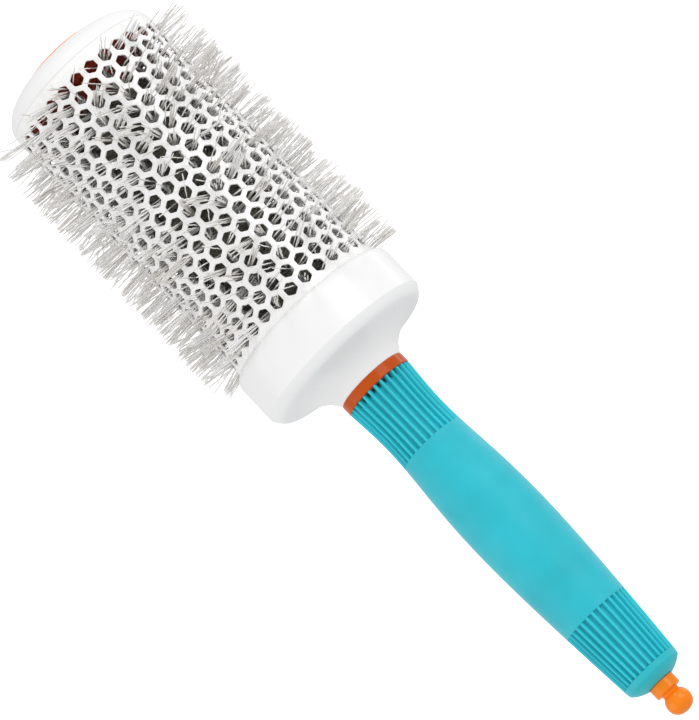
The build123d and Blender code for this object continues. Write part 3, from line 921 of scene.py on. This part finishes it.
def build_grip():
    """The soft sleeve. Arrays run over its heights first and round its girth second."""
    columns = RIBS * COLUMNS_PER_RIB
    angle = np.arange(columns) * 2 * math.pi / columns
    stations = grip_stations()
    radius = natural_spline(grip_low[2] + GRIP_OUTLINE[:, 1], GRIP_OUTLINE[:, 0], stations)
    # across one rib: a narrow rounded ridge, then a wider groove with a flat floor
    across = np.abs((np.arange(columns) % COLUMNS_PER_RIB) / COLUMNS_PER_RIB - 0.5) * 2
    groove = 1 - ramp_up(across, 0.30, 0.80)
    crown = CROWN_HEIGHT * ramp_up(across, 0.70, 1.0) - CROWN_HEIGHT
    # along the grip: the grooves run deeper in the last two millimetres before the band
    band_ribs = 1 - ramp_up(stations, BAND_ZONE[1] - 0.16, BAND_ZONE[1] + 0.06)
    end_ribs = ramp_up(stations, END_ZONE[0] - 0.06, END_ZONE[0] + 0.16)
    deeper = 1 + 0.5 * (1 - ramp_up(stations, BAND_ZONE[0] + 0.9, BAND_ZONE[0] + 2.2))
    depth = GROOVE_DEPTH * (band_ribs * deeper + end_ribs)
    ribbed = np.clip(band_ribs + end_ribs, 0, 1)
    outside = radius[:, None] - depth[:, None] * groove[None] + ribbed[:, None] * crown[None]
    inside = np.broadcast_to(radius[:, None] - GRIP_WALL, outside.shape)
    start_edge = ramp_up(stations, grip_low[2], grip_low[2] + 0.3)
    outside = outside - FIRST_EDGE * (1 - start_edge)[:, None]
    skins = []
    for skin in (outside, inside):
        z = np.broadcast_to(stations[:, None], skin.shape)
        skins.append(np.stack([skin * np.cos(angle), skin * np.sin(angle), z], -1).reshape(-1, 3))
    piece = add_mesh("grip_soft", np.concatenate(skins), grip_faces(len(stations), columns),
                     [TEAL_SOFT], "brush", ["grip_sleeve"], "teal_soft")
    # the value that soft_touch colours by: painted shade in the grooves, a near-black painted shadow in
    # their deep ends by the band and a painted highlight on the rib crests
    side = np.where(groove > 0.5, -0.38, 0.5)
    rib_light_and_shade = 0.5 + ribbed[:, None] * side * np.abs(2 * groove[None] - 1)
    # the grooves' deep ends beside the band go to 0, a near-black painted shadow
    pocket_shadow = 1 - ramp_up(stations, BAND_ZONE[0] + 0.9, BAND_ZONE[0] + 2.4)
    rib_light_and_shade *= 1 - pocket_shadow[:, None] * np.clip(2 * groove[None] - 1, 0, 1)
    rib_light_and_shade = np.concatenate([rib_light_and_shade.ravel(), np.full(rib_light_and_shade.size, 0.5)])
    attribute = piece.data.attributes.new("rib_light_and_shade", "FLOAT", "POINT")
    attribute.data.foreach_set("value", rib_light_and_shade.astype(np.float32))
    weight_normals(piece, sharp_deg=55)


front_cap()
end_disc()
rear_flange()
accent_band()
handle_end()
pick_knob()
build_grip()


# ---------------------------------------------------------------- floor, light and camera
CAMERA_ELEVATION = 10.4
CAMERA_AZIMUTH = -87.0
CAMERA_DISTANCE = 1645.0
FOCAL_PIXELS = 5500.0
LONG_SIDE_PIXELS = 720.0
SENSOR_MM = 36.0
AXIS_DOWN_DEG = 46.22
LOOK_AT_Z = 127.8
LOOK_ASIDE = 0.59
WORLD_STRENGTH = 0.78
FLOOR_GLOW = 0.7
# each lamp's place (along the brush, aside, towards the camera), its size and its watts
SOFTBOXES = {
    "key": ((-300, -690, 690), (600, 600), 2.8),
    "fill": ((100, 900, 300), (800, 800), 2.0),
    "spark": ((-1000, -250, 500), (350, 350), 1.6),
    "rim": ((-250, -850, -530), (150, 500), 0.6),
}

elevation, azimuth = math.radians(CAMERA_ELEVATION), math.radians(CAMERA_AZIMUTH)
to_camera = Vector((math.cos(elevation) * math.cos(azimuth), math.cos(elevation) * math.sin(azimuth),
                    math.sin(elevation)))
along_axis = (Vector((0, 0, 1)) - to_camera * to_camera.z).normalized()
aside = along_axis.cross(to_camera)
down = math.radians(AXIS_DOWN_DEG)
image_right = along_axis * math.cos(down) - aside * math.sin(down)
image_up = -along_axis * math.sin(down) - aside * math.cos(down)
target = Vector((0, 0, LOOK_AT_Z)) + aside * LOOK_ASIDE


def place(x_along, x_aside, x_near):
    """A point, by its way along the brush, aside and towards the camera from the point looked at."""
    return (target + along_axis * x_along + aside * x_aside + to_camera * x_near) * MM


def add_camera():
    """The photo's view: the brush's axis runs down to the right across the picture."""
    data = bpy.data.cameras.new("camera")
    data.sensor_width = SENSOR_MM
    data.lens = FOCAL_PIXELS * SENSOR_MM / LONG_SIDE_PIXELS
    data.clip_end = 100
    camera = bpy.data.objects.new("camera", data)
    turn = Matrix((image_right, image_up, to_camera)).transposed()
    camera.matrix_world = Matrix.Translation(place(0, 0, CAMERA_DISTANCE)) @ turn.to_4x4()
    bpy.context.scene.collection.objects.link(camera)
    bpy.context.scene.camera = camera


def add_softbox(name, position, size, watts):
    """A white area lamp that faces the point looked at."""
    data = bpy.data.lights.new(name, "AREA")
    data.shape = "RECTANGLE"
    data.size, data.size_y = size[0] * MM, size[1] * MM
    data.energy = watts
    light = bpy.data.objects.new(name, data)
    light.location = position
    light.rotation_euler = (place(0, 0, 0) - position).to_track_quat("-Z", "Y").to_euler()
    bpy.context.scene.collection.objects.link(light)


def add_floor():
    """A wide pale floor that glows a little; it neither lights the brush nor blocks a lamp."""
    half, steps = 6000.0, 24
    line = np.linspace(-half, half, steps + 1)
    x, y = np.meshgrid(line, line)
    verts = np.stack([x.ravel(), y.ravel(), np.zeros(x.size)], 1)
    index = np.arange(x.size).reshape(x.shape)
    quads = np.stack([index[:-1, :-1], index[:-1, 1:], index[1:, 1:], index[1:, :-1]], -1)
    mesh = bpy.data.meshes.new("floor")
    mesh.from_pydata((verts * MM).tolist(), [], quads.reshape(-1, 4).tolist())
    material = material_base("pale_floor", (0.9, 0.9, 0.9), 0.8)
    feed(material, "Base Color", ramp(material, noise(material, 3, 3), [
        (0.3, (0.9, 0.9, 0.9)), (0.7, (0.92, 0.92, 0.92)),
    ]))
    shader = material.node_tree.nodes["Principled BSDF"]
    shader.inputs["Emission Color"].default_value = (1, 1, 1, 1)
    shader.inputs["Emission Strength"].default_value = FLOOR_GLOW
    mesh.materials.append(material)
    floor = bpy.data.objects.new("floor", mesh)
    floor.visible_diffuse = floor.visible_glossy = floor.visible_shadow = False
    bpy.context.scene.collection.objects.link(floor)


def add_world():
    """An even white studio round the brush."""
    world = bpy.data.worlds.new("studio")
    world.use_nodes = True
    background = world.node_tree.nodes["Background"]
    background.inputs["Color"].default_value = (1, 1, 1, 1)
    background.inputs["Strength"].default_value = WORLD_STRENGTH
    bpy.context.scene.world = world


add_camera()
add_world()
add_floor()
for name, (spot, size, watts) in SOFTBOXES.items():
    add_softbox(name, place(*spot), size, watts)
bpy.context.scene.view_settings.view_transform = "Standard"
